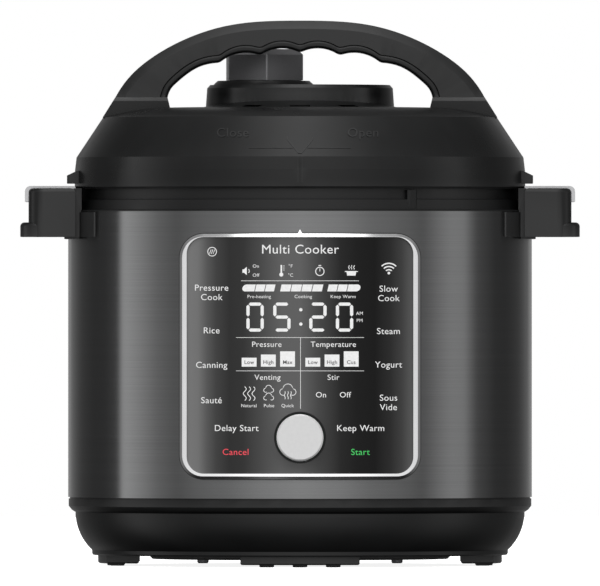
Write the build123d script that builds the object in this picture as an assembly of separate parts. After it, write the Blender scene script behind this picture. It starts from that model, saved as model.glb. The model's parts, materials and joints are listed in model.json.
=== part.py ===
"""Electric pressure cooker: steel housing, turn-and-lift lid, inner pot, heater and controls."""

from build123d import *
from math import cos, hypot, radians, sin, sqrt
import os

# Millimetres. +X right, -Y front (the control panel), +Z up. The origin is on the floor, on the pot's axis.
HALF_DEPTH = 153.0
FLOOR_GAP = 6.3
BASE_RADIUS = 138.8
BASE_TOP = 40.1
HOUSING_RADIUS = 139.1
HOUSING_WALL = 0.8
HOUSING_LOW, HOUSING_HIGH = 41.1, 212.1
COLLAR_RADIUS, COLLAR_TOP = 131.0, 226.8
LID_LOW, LID_RADIUS, SKIRT_TOP = 225.6, 135.0, 244.6
SHOULDER_RADIUS, SHOULDER_HEIGHT = 118.2, 268.6
PLATEAU_RADIUS, PLATEAU_HEIGHT = 80.0, 274.5
CROWN_RADIUS, CROWN_HEIGHT = 60.0, 280.6
LID_WALL = 2.8

POT_RADIUS, POT_WALL = 111.0, 1.2
POT_LOW, POT_HIGH = 64.0, 220.2
OUTER_POT_RADIUS, SHEET = 118.8, 0.8
OUTER_POT_LOW = 44.0
FLANGE_LOW, FLANGE_HIGH, LUG_RADIUS = 219.0, 220.6, 124.0
LUGS, LUG_ANGLE = 6, 27.0
LINER_RADIUS, LINER_LOW, LINER_CEILING, LINER_TOP = 127.0, 216.6, 232.3, 247.0

FOOT_INNER, FOOT_OUTER, FOOT_HALF_WIDTH, PAD_HEIGHT = 102.6, 121.2, 35.5, 1.6
COVER_RADIUS, COVER_LOW = 90.0, 3.9

HANDLE_HALF = 13.0
SEAM = 280.7
BEAD = 4.5
FINGER_RIDGES = [(0, 307.5), (23.7, 305.9), (48.2, 301.6)]
FINGER_HOLLOWS = [(11.6, 310.2), (36.0, 307.3)]

POD_RADIUS, POD_Y, POD_TOP = 56.2, 22.0, 288.3
CAP_X, CAP_Y, CAP_LOW, CAP_TOP, CAP_CIRCLE = -21.3, 40.0, 291.3, 310.0, 26.0
FLOAT_X, FLOAT_Y = 22.0, 40.0

GRIP_HALF, GRIP_INNER, GRIP_OUTER, GRIP_LOW, GRIP_HIGH = 50.0, 134.4, 162.4, 197.0, 226.0

PANEL_HALF, PANEL_LOW, PANEL_HIGH, PANEL_CORNER = 69.8, 54.3, 198.3, 12.5
FRAME_WIDTH, FRAME_RIM, FRAME_BEVEL = 2.4, 1.65, 1.7
FRAME_RADIUS, LENS_RADIUS, FLANGE_RADIUS = 144.2, 143.2, 141.4
DIAL_HEIGHT, DIAL_RADIUS = 77.5, 13.9
BOARD_FRONT = 127.0

INLET_X, INLET_Z = -52.0, 22.5
CUP_HALF, CUP_LOW, CUP_HIGH, CUP_INNER = 30.0, 150.0, 202.0, 141.6


def disc(radius, low, high, x=0.0, y=0.0):
    """Upright round bar between two heights."""
    return Pos(x, y, (low + high) / 2) * Cylinder(radius, high - low)


def tube(outer, inner, low, high, x=0.0, y=0.0):
    return disc(outer, low, high, x, y) - disc(inner, low - 1, high + 1, x, y)


def block(x, y, z):
    """Box from three (low, high) pairs."""
    middle = [(low + high) / 2 for low, high in (x, y, z)]
    size = [high - low for low, high in (x, y, z)]
    return Pos(*middle) * Box(*size)


def lathe(*edges):
    """Ring or dish turned about Z from outline edges in (radius, height)."""
    outline = edges[0]
    for edge in edges[1:]:
        outline += edge
    return revolve(Plane.XZ * make_face(outline), Axis.Z)


def turned(*points):
    return lathe(Polyline(*points, close=True))


def round_bar_y(radius, front, back, x=0.0, z=0.0):
    """Round bar along Y, from front to back."""
    return Pos(x, (front + back) / 2, z) * Rot(X=90) * Cylinder(radius, back - front)


def around(shape, count, start=0.0):
    """The shape repeated evenly about Z."""
    return [Rot(Z=start + 360.0 / count * step) * shape for step in range(count)]


def wedge(radius, width_angle, low, high, middle_angle):
    """Pie slice about Z, used to cut lugs out of rings."""
    half = radians(width_angle / 2)
    tip = (radius * cos(half), radius * sin(half))
    face = make_face(Polyline((0, 0), tip, (radius * 1.1, 0), (tip[0], -tip[1]), close=True))
    return Rot(Z=middle_angle) * Pos(0, 0, low) * extrude(face, high - low)


def curved_plate(outer, inner, half_width, low, high, corner):
    """Rounded rectangle wrapped on the housing's cylinder, at the front."""
    face = Rectangle(half_width * 2, high - low)
    if corner:
        face = fillet(face.vertices(), corner)
    prism = Pos(0, 0, (low + high) / 2) * extrude(Plane.XZ * face, HALF_DEPTH * 1.2)
    return tube(outer, inner, low, high) & prism


def mirrored(shape):
    return mirror(shape, about=Plane.YZ)


def write(name, *pieces):
    shapes = []
    for piece in pieces:
        shapes += piece if isinstance(piece, list) else [piece]
    solids = [solid for shape in shapes for solid in shape.solids()]
    for solid in solids:
        solid.label = name
    whole = solids[0] if len(solids) == 1 else Compound(children=solids, label=name)
    export_step(whole, "parts/" + name + ".step")


# ---- Base: shell, cover, feet ----

def base_shell():
    """Black bowl with a rolled lip at the bottom and a rim that holds the housing."""
    bowl = ThreePointArc((124.8, 9.3), (131.2, 17.7), (134.7, 30.0))
    inside = ThreePointArc((132.0, 30.0), (128.7, 19.0), (122.8, 12.0))
    rim = Polyline((134.7, 30.0), (134.7, 32.0), (136.9, 33.4), (BASE_RADIUS, 35.8), (BASE_RADIUS, BASE_TOP))
    upstand = Polyline((BASE_RADIUS, BASE_TOP), (138.1, BASE_TOP), (138.1, 50.0), (135.6, 50.0),
                       (135.6, 36.8), (132.0, 33.4), (132.0, 30.0))
    floor = Polyline((122.8, 12.0), (118.0, 9.2), (72.0, 9.2), (72.0, FLOOR_GAP), (124.0, FLOOR_GAP),
                     (124.8, 7.2), (124.8, 9.3))
    shell = lathe(bowl, rim, upstand, inside, floor)
    for boss in around(tube(4.5, 1.55, 9.0, 20.0, 82.0), 4, 45.0):
        shell += boss
    for hole in around(disc(1.55, 5.0, 12.0, 82.0), 4, 45.0):
        shell -= hole
    surround = block((INLET_X - 19, INLET_X + 19), (112, 128), (INLET_Z - 14, INLET_Z + 14))
    surround = fillet(surround.edges().filter_by(Axis.Y), 4)
    shell += surround - tube(200, 134.6, 0, 60) - disc(118, 0, 60)
    shell -= inlet_prism(0.15)
    return shell


def bottom_cover():
    """Steel cover under the electronics, with cooling slots and board posts."""
    cover = chamfer(disc(COVER_RADIUS, COVER_LOW, FLOOR_GAP).edges().group_by(Axis.Z)[0], 1.4)
    for slot in around(block((34, 62), (-1.6, 1.6), (2, 8)), 16, 11.25):
        cover -= slot
    for hole in around(disc(1.7, 2, 8, 82.0), 4, 45.0):
        cover -= hole
    for x in (-50, 50):
        for y in (-32, 32):
            cover += disc(3.2, FLOOR_GAP - 0.5, 16.0, x, y)
    return cover


def screw(head_radius, shank_radius, seat, tip, x=0.0, y=0.0):
    """Round-headed screw whose head hangs below the seat, with a cross recess."""
    head = disc(head_radius, seat - 2.0, seat, x, y)
    head = chamfer(head.edges().group_by(Axis.Z)[0], 0.7)
    cross = block((x - 1.6, x + 1.6), (y - 0.35, y + 0.35), (seat - 2.5, seat - 1.0))
    cross += block((x - 0.35, x + 0.35), (y - 1.6, y + 1.6), (seat - 2.5, seat - 1.0))
    return head - cross + disc(shank_radius, seat, tip, x, y)


def foot():
    """Moulded foot at the front edge: a block that follows the rim."""
    body = tube(FOOT_OUTER, FOOT_INNER, PAD_HEIGHT - 0.2, FLOOR_GAP)
    body &= block((-FOOT_HALF_WIDTH, FOOT_HALF_WIDTH), (-130, -80), (0, 8))
    body = chamfer(body.edges().group_by(Axis.Z)[0], 0.8)
    step = tube(FOOT_INNER + 1, FOOT_INNER - 4, COVER_LOW, FLOOR_GAP)
    return body + (step & block((-12, 12), (-130, -80), (0, 8)))


def foot_pads():
    spots = [(-19.8, -109.5), (0.0, -111.3), (19.8, -109.5)]
    pads = [chamfer(disc(4.4, 0.0, PAD_HEIGHT - 0.2, x, y).edges().group_by(Axis.Z)[0], 0.5) for x, y in spots]
    return [Rot(Z=90 * side) * pad for side in range(4) for pad in pads]


# ---- Base: housing, collar, side handles ----

def housing_shell():
    shell = tube(HOUSING_RADIUS, HOUSING_RADIUS - HOUSING_WALL, HOUSING_LOW, HOUSING_HIGH)
    shell -= curved_plate(160, 120, 58.0, 62.0, 190.0, 4.0)
    for y in (-26, 26):
        shell -= Pos(0, y, 204) * Rot(Y=90) * Cylinder(1.6, 300)
    return shell - round_bar_y(2.1, 130, 145, 0, 206.6)


def collar():
    """Black rim with the moat that catches condensation, and the mark where the lid opens."""
    ring = turned((119.6, 209.5), (119.6, 214.5), (121.2, 214.5), (121.2, 211.5), (128.8, 211.5),
                  (128.8, COLLAR_TOP), (COLLAR_RADIUS, COLLAR_TOP), (COLLAR_RADIUS, 219.3),
                  (133.4, 219.0), (134.0, 213.2), (138.9, 212.8), (138.9, HOUSING_HIGH), (138.1, HOUSING_HIGH),
                  (138.1, 209.0), (136.0, 209.0), (136.0, 209.5))
    mark = block((-3.2, 3.2), (-134.6, -129.5), (212.9, 224.6))
    mark = chamfer(mark.edges().filter_by(Axis.Z).group_by(Axis.Y)[0], 1.2)
    ring += Rot(Z=30) * mark
    ring -= disc(2.5, 205, 213, 0, 125.0)
    return ring


def side_handle():
    """Right-hand grip: hollow block for the fingers, lip at its outer edge, wings on the housing."""
    body = block((GRIP_INNER, GRIP_OUTER), (-GRIP_HALF, GRIP_HALF), (GRIP_LOW, GRIP_HIGH))
    body = fillet(body.edges().filter_by(Axis.Z).group_by(Axis.X)[-1], 9)
    body = fillet(body.edges().group_by(Axis.Z)[-1], 2.6)
    lip = block((GRIP_OUTER - 12, 167.4), (-GRIP_HALF + 0.8, GRIP_HALF - 0.8), (GRIP_LOW, 205.6))
    lip = fillet(lip.edges().filter_by(Axis.Z).group_by(Axis.X)[-1], 11)
    lip = fillet(lip.edges().group_by(Axis.Z)[-1], 2.5)
    inner = block((130.6, GRIP_INNER + 1), (-GRIP_HALF + 3, GRIP_HALF - 3), (GRIP_LOW, GRIP_HIGH))
    heel = block((128, 141), (-GRIP_HALF + 6, GRIP_HALF - 6), (195.7, GRIP_LOW + 1))
    wings = tube(140.0, HOUSING_RADIUS + 0.05, GRIP_LOW, 211.6) & block((120, 145), (-66.6, 66.6), (190, 230))
    handle = body + lip + inner + heel + wings
    hollow = block((142.5, 159.4), (-GRIP_HALF + 4, GRIP_HALF - 4), (GRIP_LOW - 2, 221.0))
    handle -= fillet(hollow.edges().filter_by(Axis.Z), 5)
    handle -= disc(HOUSING_RADIUS + 0.05, 190, 212.85)
    handle -= tube(139.0, 130, 212.85, 213.0) + tube(135.2, 130, 213.0, 230) + disc(131.05, 212.0, 230)
    handle -= tube(134.1, 120, 212.9, 219.6)
    for y in (-26, 26):
        handle -= Pos(138, y, 204) * Rot(Y=90) * Cylinder(1.55, 14)
    handle -= disc(136.0, LID_LOW - 0.3, 230)
    handle -= side_trim(0.0)
    return handle


def side_trim(ease=0.05):
    """Brushed steel strap over the grip's top and down its end."""
    low, high, end = 224.9, 227.4, 164.6
    path = FilletPolyline((GRIP_INNER, high), (end, high), (end, 218.0), radius=3.4)
    inner = FilletPolyline((end - 2.4, 218.0), (end - 2.4, low), (GRIP_INNER, low), radius=1.6)
    outline = path + Line(path @ 1, inner @ 0) + inner + Line(inner @ 1, path @ 0)
    half = GRIP_HALF - 9 - ease
    strap = Pos(0, half, 0) * extrude(Plane.XZ * make_face(outline), half * 2)
    return strap - disc(136.0, 224.0, 230)


def handle_bolts():
    """Two bolts for each side handle, driven from inside the housing."""
    bolts = []
    for y in (-26, 26):
        bolt = Pos(138.5, y, 204) * Rot(Y=90) * Cylinder(1.5, 7.6)
        bolts.append(bolt + Pos(133.4, y, 204) * Rot(Y=90) * Cylinder(3.4, 2.6))
    return bolts


# ---- Base: pots and heater ----

def outer_pot():
    """Drawn steel liner with the bayonet lugs that the lid locks under."""
    inner = OUTER_POT_RADIUS - SHEET
    pot = turned((34.0, OUTER_POT_LOW), (OUTER_POT_RADIUS - 6, OUTER_POT_LOW), (OUTER_POT_RADIUS, OUTER_POT_LOW + 6),
                 (OUTER_POT_RADIUS, FLANGE_LOW), (LUG_RADIUS, FLANGE_LOW), (LUG_RADIUS, FLANGE_HIGH),
                 (inner, FLANGE_HIGH), (inner, OUTER_POT_LOW + 6.4), (inner - 5.6, OUTER_POT_LOW + SHEET),
                 (34.0, OUTER_POT_LOW + SHEET))
    gap_ring = tube(LUG_RADIUS + 1, 120.5, FLANGE_LOW - 1, FLANGE_HIGH + 1)
    gap = 360.0 / LUGS - LUG_ANGLE
    for step in range(LUGS):
        pot -= gap_ring & wedge(160, gap, FLANGE_LOW - 1, FLANGE_HIGH + 1, step * 60.0 + 30.0)
    for x in (-7.0, 7.0):
        pot -= disc(2.6, 40, 50, x, -68.0)
    return pot


def inner_pot():
    """Removable cooking pot with a rolled rim and a thick flat base."""
    inside = POT_RADIUS - POT_WALL
    outer = ThreePointArc((POT_RADIUS - 12, POT_LOW), (POT_RADIUS - 3.5, POT_LOW + 3.5), (POT_RADIUS, POT_LOW + 12))
    rim = Polyline((POT_RADIUS, POT_LOW + 12), (POT_RADIUS, POT_HIGH - 1.6), (116.4, POT_HIGH - 1.6),
                   (116.4, POT_HIGH), (inside, POT_HIGH), (inside, POT_LOW + 13))
    inner = ThreePointArc((inside, POT_LOW + 13), (inside - 3.4, POT_LOW + 5.6), (inside - 11, POT_LOW + 2.6))
    base = Polyline((inside - 11, POT_LOW + 2.6), (0, POT_LOW + 2.6), (0, POT_LOW), (POT_RADIUS - 12, POT_LOW))
    return lathe(outer, rim, inner, base)


def pot_grips():
    """Pair of heat-proof grips moulded on the pot, just under its rim."""
    grip = curved_plate(117.2, POT_RADIUS + 0.02, 26.0, 196.0, 214.0, 4.0)
    return [Rot(Z=90) * grip, Rot(Z=-90) * grip]


def heating_plate():
    plate = turned((17.0, 52.0), (88.0, 52.0), (92.0, 55.0), (92.0, POT_LOW - 0.4), (90.0, POT_LOW),
                   (17.0, POT_LOW))
    return plate - coil_ring(4.3)


def coil_ring(radius):
    return Pos(0, 0, 54.0) * Torus(68.0, radius)


def heating_coil():
    """Tubular element cast into the plate, with two terminals through the outer pot."""
    coil = coil_ring(4.25)
    for x in (-7.0, 7.0):
        coil += disc(2.4, 42.0, 52.0, x, -68.0)
    return coil


def heater_posts():
    return around(disc(5.0, OUTER_POT_LOW + SHEET, 52.0, 82.0), 3, 30.0)


def sensor_bracket():
    """Steel cup that guides the sprung temperature sensor."""
    cup = tube(15.6, 14.2, 40.0, 58.0) + tube(36.0, 14.2, 42.8, OUTER_POT_LOW)
    return cup + tube(15.6, 4.2, 40.0, 41.2)


def sensor_plunger():
    cap = disc(14.15, 50.0, 63.7) - disc(12.6, 49.0, 62.2)
    return fillet(cap.edges().group_by(Axis.Z)[-1], 0.8) + disc(3.0, 34.0, 62.5)


def spring(radius, wire, low, high, turns):
    """Coil spring about Z with open ends, kept between two heights."""
    height = high - low - 2 * wire
    path = Helix(pitch=height / turns, height=height, radius=radius)
    coil = sweep(Plane(path @ 0, z_dir=path % 0) * Circle(wire), path=path)
    return Pos(0, 0, low + wire) * coil


def pressure_switch():
    """Micro-switch that the outer pot's floor presses as it bows under pressure."""
    body = block((48, 68), (-6, 6), (33.0, 42.2))
    return body + disc(1.5, 42.0, OUTER_POT_LOW, 58, 0)


# ---- Base: electronics ----

def power_board():
    return fillet(block((-58, 58), (-40, 40), (16.0, 17.6)).edges().filter_by(Axis.Z), 3)


def board_parts():
    """Transformer, relay, capacitors, heat sink and terminals on the power board."""
    top = 17.6
    parts = [block((-50, -22), (-30, -6), (top, 33)), block((-14, 6), (-32, -16), (top, 31))]
    parts += [block((14, 17), (-34, 2), (top, 32)), block((-50, -38), (8, 34), (top, 28))]
    parts += [disc(6.5, top, 32, 34, -24), disc(5.0, top, 30, 34, -8), disc(4.0, top, 28, 48, -26)]
    parts += [block((24, 50), (14, 24), (top, 27)), disc(6.0, top, 22, 0, 16)]
    return parts


def inlet_prism(ease):
    """The power inlet's body, grown by an ease all round."""
    face = Rectangle(27 + 2 * ease, 20 + 2 * ease)
    face = chamfer(face.vertices().group_by(Axis.Y)[-1], 5)
    return Pos(INLET_X, 96, INLET_Z) * extrude(Plane.XZ * face, -31.5 - ease)


def power_inlet():
    """Three-pin appliance inlet, open to the back."""
    face = Rectangle(24, 17)
    face = chamfer(face.vertices().group_by(Axis.Y)[-1], 4.4)
    socket = Pos(INLET_X, 108, INLET_Z) * extrude(Plane.XZ * face, -25)
    inlet = inlet_prism(0) - socket
    for pin in inlet_pins():
        inlet -= pin
    return inlet


def inlet_pins():
    spots = [(-7.0, -2.0), (0.0, 3.0), (7.0, -2.0)]
    return [block((INLET_X + x - 1, INLET_X + x + 1), (92, 123), (INLET_Z + z - 2, INLET_Z + z + 2))
            for x, z in spots]


def wiring():
    """Leads from the inlet and the heater to the power board."""
    leads = []
    for x, end in ((-7.0, -46.0), (7.0, -42.0)):
        route = FilletPolyline((INLET_X + x, 92, 20.5), (INLET_X + x, 74, 20.5), (end, 60, 30.5),
                               (end, 28, 30.5), (end, 28, 28.0), radius=1.1)
        leads.append(sweep(Plane(route @ 0, z_dir=route % 0) * Circle(1.0), path=route))
    for x in (-7.0, 7.0):
        route = FilletPolyline((x, -68, 42.0), (x, -68, 37.0), (x, -24, 37.0), (x, -24, 31.0), radius=2.4)
        leads.append(sweep(Plane(route @ 0, z_dir=route % 0) * Circle(1.2), path=route))
    return leads


# ---- Control panel ----

def panel_flange(inner):
    """Outline of the panel's seat on the outside of the housing."""
    low, high = PANEL_LOW - 2.0, PANEL_HIGH + 0.7
    return curved_plate(FLANGE_RADIUS, inner, PANEL_HALF + 2.2, low, high, PANEL_CORNER + 2.2)


def panel_window(outer, inner, ease=0.0):
    """Opening of the bezel, with the window a little smaller than it."""
    half = PANEL_HALF - FRAME_WIDTH - ease
    low, high = PANEL_LOW + FRAME_RIM + ease, PANEL_HIGH - FRAME_RIM - ease
    return curved_plate(outer, inner, half, low, high, PANEL_CORNER - FRAME_WIDTH)


def panel_carrier():
    """Black moulding behind the panel: a flange outside the housing, a wall through the cut-out."""
    wall = curved_plate(HOUSING_RADIUS + 0.1, 137.3, 57.8, 62.2, 189.8, 4.0)
    carrier = panel_flange(HOUSING_RADIUS) + wall
    carrier -= curved_plate(160, 120, 54.6, 97.0, 186.6, 3.0)
    for x in (-46.0, 46.0):
        carrier += round_bar_y(2.6, -132.0, -BOARD_FRONT, x, 188.4) & block((-60, 60), (-140, -120), (60, 189.6))
        carrier += round_bar_y(2.6, -132.0, -BOARD_FRONT, x, 70.0)
    return carrier - round_bar_y(DIAL_RADIUS + 0.6, -160, -120, 0, DIAL_HEIGHT)


def panel_frame():
    """Chrome bezel with sloping sides and a small pointer at the top middle."""
    outer = curved_plate(FRAME_RADIUS, FLANGE_RADIUS, PANEL_HALF + 1.8, PANEL_LOW - 1.6, PANEL_HIGH + 0.2,
                         PANEL_CORNER + 1.8)
    front = [edge for edge in outer.edges() if hypot((edge @ 0.5).X, (edge @ 0.5).Y) > FRAME_RADIUS - 0.01]
    outer = chamfer(front, FRAME_BEVEL)
    low, tip = PANEL_HIGH - 0.5, PANEL_HIGH + 2.8
    face = make_face(Polyline((-1.7, low), (1.7, low), (0, tip), close=True))
    pointer = tube(142.4, HOUSING_RADIUS + 0.05, low, tip)
    pointer &= extrude(Plane.XZ * face, 160)
    return outer - panel_window(160, 120) + (pointer - panel_flange(120))


def panel_lens():
    """Smoked window over the whole panel, with the hole for the dial."""
    lens = panel_window(LENS_RADIUS, FLANGE_RADIUS, 0.02)
    return lens - round_bar_y(DIAL_RADIUS + 1.5, -160, -120, 0, DIAL_HEIGHT)


def control_board():
    board = block((-50, 50), (-BOARD_FRONT, -BOARD_FRONT + 1.6), (64, 194))
    return fillet(board.edges().filter_by(Axis.Y), 3)


def display_module():
    """Segment display on its own thin frame."""
    body = block((-36, 36), (-136.0, -BOARD_FRONT), (110, 160))
    return chamfer(body.edges().group_by(Axis.Y)[0], 1.0)


def encoder_body():
    body = block((-6.5, 6.5), (-132.6, -BOARD_FRONT), (DIAL_HEIGHT - 6.5, DIAL_HEIGHT + 6.5))
    return body - round_bar_y(3.05, -140, -128.6, 0, DIAL_HEIGHT)


def encoder_rotor():
    rotor = round_bar_y(3.0, -134.4, -129.2, 0, DIAL_HEIGHT) + round_bar_y(4.4, -135.6, -133.0, 0, DIAL_HEIGHT)
    return rotor - round_bar_y(2.05, -140, -130.0, 0, DIAL_HEIGHT)


def dial_shaft():
    return round_bar_y(2.0, -149.0, -131.4, 0, DIAL_HEIGHT)


def dial_knob():
    """Round knob with a chamfered face that is very slightly dished."""
    knob = round_bar_y(DIAL_RADIUS, -HALF_DEPTH, -141.0, 0, DIAL_HEIGHT)
    knob = chamfer(knob.edges().group_by(Axis.Y)[0], 0.9)
    knob -= round_bar_y(DIAL_RADIUS - 1.8, -150.4, -140.0, 0, DIAL_HEIGHT)
    knob += round_bar_y(4.2, -151.0, -139.0, 0, DIAL_HEIGHT)
    return knob - round_bar_y(2.0, -149.0, -130.0, 0, DIAL_HEIGHT)


# ---- Condensation cup at the back ----

def cup_body(ease=0.0):
    return block((-CUP_HALF + ease, CUP_HALF - ease), (CUP_INNER + ease, HALF_DEPTH - ease),
                 (CUP_LOW + ease, CUP_HIGH + 5 * ease))


def condensation_cup():
    """Clear cup with an open top that hangs in the bracket."""
    cup = fillet(cup_body().edges().filter_by(Axis.Z), 3.5)
    return cup - fillet(cup_body(1.6).edges().filter_by(Axis.Z), 2.0)


def cup_bracket():
    """Guide screwed to the housing that carries the cup and the moat's drain spout."""
    back = tube(141.3, HOUSING_RADIUS + 0.05, CUP_LOW - 4, CUP_HIGH + 6) & block((-33, 33), (100, 160), (0, 300))
    rails = block((-34.6, -30.4), (133, 148), (CUP_LOW - 4, CUP_HIGH + 2))
    rails += mirrored(rails)
    shelf = block((-34.6, 34.6), (133, 148), (CUP_LOW - 4, CUP_LOW - 0.4))
    bracket = back + rails + shelf - disc(HOUSING_RADIUS + 0.05, 0, 300)
    return bracket - round_bar_y(2.1, 130, 150, 0, 206.6)


def drain_spout():
    """Short pipe from the moat out over the cup."""
    pipe = FilletPolyline((0, 125.0, 209.4), (0, 125.0, 206.6), (0, 145.5, 206.6), (0, 145.5, 203.4), radius=2.2)
    return sweep(Plane(pipe @ 0, z_dir=pipe % 0) * Circle(2.0), path=pipe)


# ---- Lid: shell and handle ----

def crown_arc():
    """Outline of the shallow dome in the middle of the lid, a sphere centred on the axis."""
    rise = CROWN_HEIGHT - PLATEAU_HEIGHT
    sphere = (CROWN_RADIUS ** 2 + rise ** 2) / (2 * rise)
    middle = CROWN_RADIUS / 2
    height = CROWN_HEIGHT - sphere + sqrt(sphere ** 2 - middle ** 2)
    return ThreePointArc((CROWN_RADIUS, PLATEAU_HEIGHT), (middle, height), (0, CROWN_HEIGHT))


def lid_shell():
    """Black moulded cover: skirt, cone, shoulder and crown, with fins and handle pedestals."""
    skirt = Polyline((132.0, LID_LOW), (134.5, LID_LOW), (135.2, LID_LOW + 1.2), (LID_RADIUS, 237.0),
                     (134.1, SKIRT_TOP), (SHOULDER_RADIUS, SHOULDER_HEIGHT))
    shoulder = ThreePointArc((SHOULDER_RADIUS, SHOULDER_HEIGHT), (100.0, 272.8), (PLATEAU_RADIUS, PLATEAU_HEIGHT))
    flat = Line((PLATEAU_RADIUS, PLATEAU_HEIGHT), (CROWN_RADIUS, PLATEAU_HEIGHT))
    inside = Polyline((0, CROWN_HEIGHT), (0, CROWN_HEIGHT - LID_WALL), (32.0, 276.1), (60.0, 271.7), (80.0, 271.7),
                      (100.0, 270.0), (116.4, 265.8), (131.4, 244.0), (131.6, 236.0), (131.6, LID_LOW),
                      (132.0, LID_LOW))
    shell = lathe(skirt, shoulder, flat, crown_arc(), inside)
    for side in (pedestal(), mirrored(pedestal()), fin(), mirrored(fin())):
        shell += side
    for turn in (-31, 0, 31):
        shell -= Rot(Z=turn) * block((-6, 6), (-CROWN_RADIUS, -42), (PLATEAU_HEIGHT + 0.1, PLATEAU_HEIGHT + 1.3))
    for boss in around(tube(4.5, 1.55, LINER_TOP, 273.0, 70.0), 3, 90.0):
        shell += boss
    shell -= disc(5.2, 260, 290, CAP_X, CAP_Y) + disc(3.4, 260, 290, FLOAT_X, FLOAT_Y)
    for x in (-92, 92):
        for y in (-7, 7):
            shell -= disc(2.1, 255, 290, x, y)
    return shell + lid_marks()


def lid_marks():
    """Raised line work at the front: a pointer rib down the skirt."""
    rib = block((-1.5, 1.5), (-135.5, -133.0), (LID_LOW + 3.4, SKIRT_TOP - 0.4))
    return rib - block((-0.9, 0.9), (-136.0, -134.9), (LID_LOW, SKIRT_TOP))


def fin():
    """Thumb fin at the side of the skirt."""
    face = make_face(Polyline((130.0, 229.0), (139.6, 229.0), (139.6, 233.7), (133.5, 236.6), (130.0, 236.6),
                              close=True))
    wing = Pos(0, 26, 0) * extrude(Plane.XZ * face, 52)
    return fillet(wing.edges().filter_by(Axis.Z).group_by(Axis.X)[-1], 2.0) - disc(133.2, 220, 240)


def pedestal():
    """Foot of the carrying handle, part of the cover."""
    face = make_face(Polyline((79.5, SEAM - 0.02), (77.6, 272.8), (80.0, 270.8), (116.6, 266.6), (118.3, 268.6),
                              (110.7, SEAM - 0.02), close=True))
    half = HANDLE_HALF + 2.5
    body = Pos(0, half, 0) * extrude(Plane.XZ * face, half * 2)
    return chamfer(body.edges().group_by(Axis.Z)[-1].filter_by(Axis.X), 2.2)


def handle_opening(grow=0.0):
    """Face of the space under the grip, with scallops for the fingers, grown outward by an amount."""
    ridges = [(x, z + grow) for x, z in FINGER_RIDGES]
    hollows = [(x, z + grow) for x, z in FINGER_HOLLOWS]
    knee = [(60.9 + 0.4 * grow, 298.9 + 0.9 * grow), (74.1 + 0.75 * grow, 289.5 + 0.65 * grow)]
    end = (79.5 + grow, SEAM)
    right = ThreePointArc(ridges[0], hollows[0], ridges[1]) + ThreePointArc(ridges[1], hollows[1], ridges[2])
    right += Spline(ridges[2], *knee, end, tangents=((1, -0.05), (0.2, -1)))
    foot_line = Polyline(end, (end[0], 262.0), (-end[0], 262.0), (-end[0], SEAM))
    face = make_face(right + mirror(right, about=Plane.YZ) + foot_line)
    peaks = [vertex for vertex in face.vertices() if vertex.Z > 300 or vertex.Y > 300]
    return fillet(peaks, 5.0)


def handle_outline():
    """Face of the whole arch, closed along the seam."""
    half = Spline((0, 326.7), (51.0, 321.9), (92.1, 302.1), (110.7, SEAM), tangents=((1, 0), (0.54, -1)))
    return make_face(half + mirror(half, about=Plane.YZ) + Line((110.7, SEAM), (-110.7, SEAM)))


def lid_handle():
    """Arched carrying grip with a bevel along its outer edge."""
    opening = handle_opening(BEAD)
    body = Pos(0, HANDLE_HALF, 0) * extrude(Plane.XZ * (handle_outline() - opening), HANDLE_HALF * 2)
    body &= block((-130, 130), (-30, 30), (SEAM, 330))
    rim = [edge for edge in body.edges() if edge.length > 110 and abs(edge.center().Y) > HANDLE_HALF - 1]
    body = chamfer(rim, 3.4, 5.0)
    for x in (-92, 92):
        for y in (-7, 7):
            body -= disc(1.75, 270, 298, x, y)
    return body


def handle_underside():
    """Scalloped lower half of the grip, a rounded bead that the fingers curl round."""
    half = HANDLE_HALF + 0.3
    bead = handle_opening(BEAD - 0.02) - handle_opening()
    body = Pos(0, half, 0) * extrude(Plane.XZ * bead, half * 2)
    body &= block((-130, 130), (-30, 30), (SEAM, 330))
    sides = [edge for edge in body.edges() if abs(edge.center().Y) > half - 0.1 and edge.center().Z > SEAM + 1]
    return fillet(sides, 1.7)


def handle_screws():
    return [screw(4.0, 1.7, 266.4, 296.0, x, y) for x in (-92, 92) for y in (-7, 7)]


# ---- Lid: steam release ----

def vent_pod():
    """Round cover over the valve gear with a raised seat for the cap."""
    pod = turned((0, 272.0), (POD_RADIUS + 0.6, 272.0), (POD_RADIUS - 0.4, POD_TOP - 2.0), (POD_RADIUS - 2.2, POD_TOP),
                 (0, POD_TOP))
    pod = Pos(0, POD_Y, 0) * pod
    seat = Pos(CAP_X - 0.6, CAP_Y, 0) * turned((0, POD_TOP - 1), (30.6, POD_TOP - 1), (30.6, POD_TOP),
                                               (27.6, CAP_LOW - 0.3), (0, CAP_LOW - 0.3))
    pod += seat & disc(POD_RADIUS - 2.2, 280, 300, 0, POD_Y)
    pod -= lid_core()
    pod -= disc(8.0, 283.6, 300, FLOAT_X, FLOAT_Y) + disc(3.4, 260, 300, FLOAT_X, FLOAT_Y)
    return pod - disc(5.2, 260, 300, CAP_X, CAP_Y)


def lid_core():
    """Everything under the lid's outer crown, used to seat the pod on it."""
    rest = Polyline((0, CROWN_HEIGHT), (0, 255.0), (110.0, 255.0), (110.0, PLATEAU_HEIGHT),
                    (CROWN_RADIUS, PLATEAU_HEIGHT))
    return lathe(crown_arc(), rest)


def hexagon(circle, low, high):
    return Pos(0, 0, low) * extrude(RegularPolygon(circle, 6, rotation=33), high - low)


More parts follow.
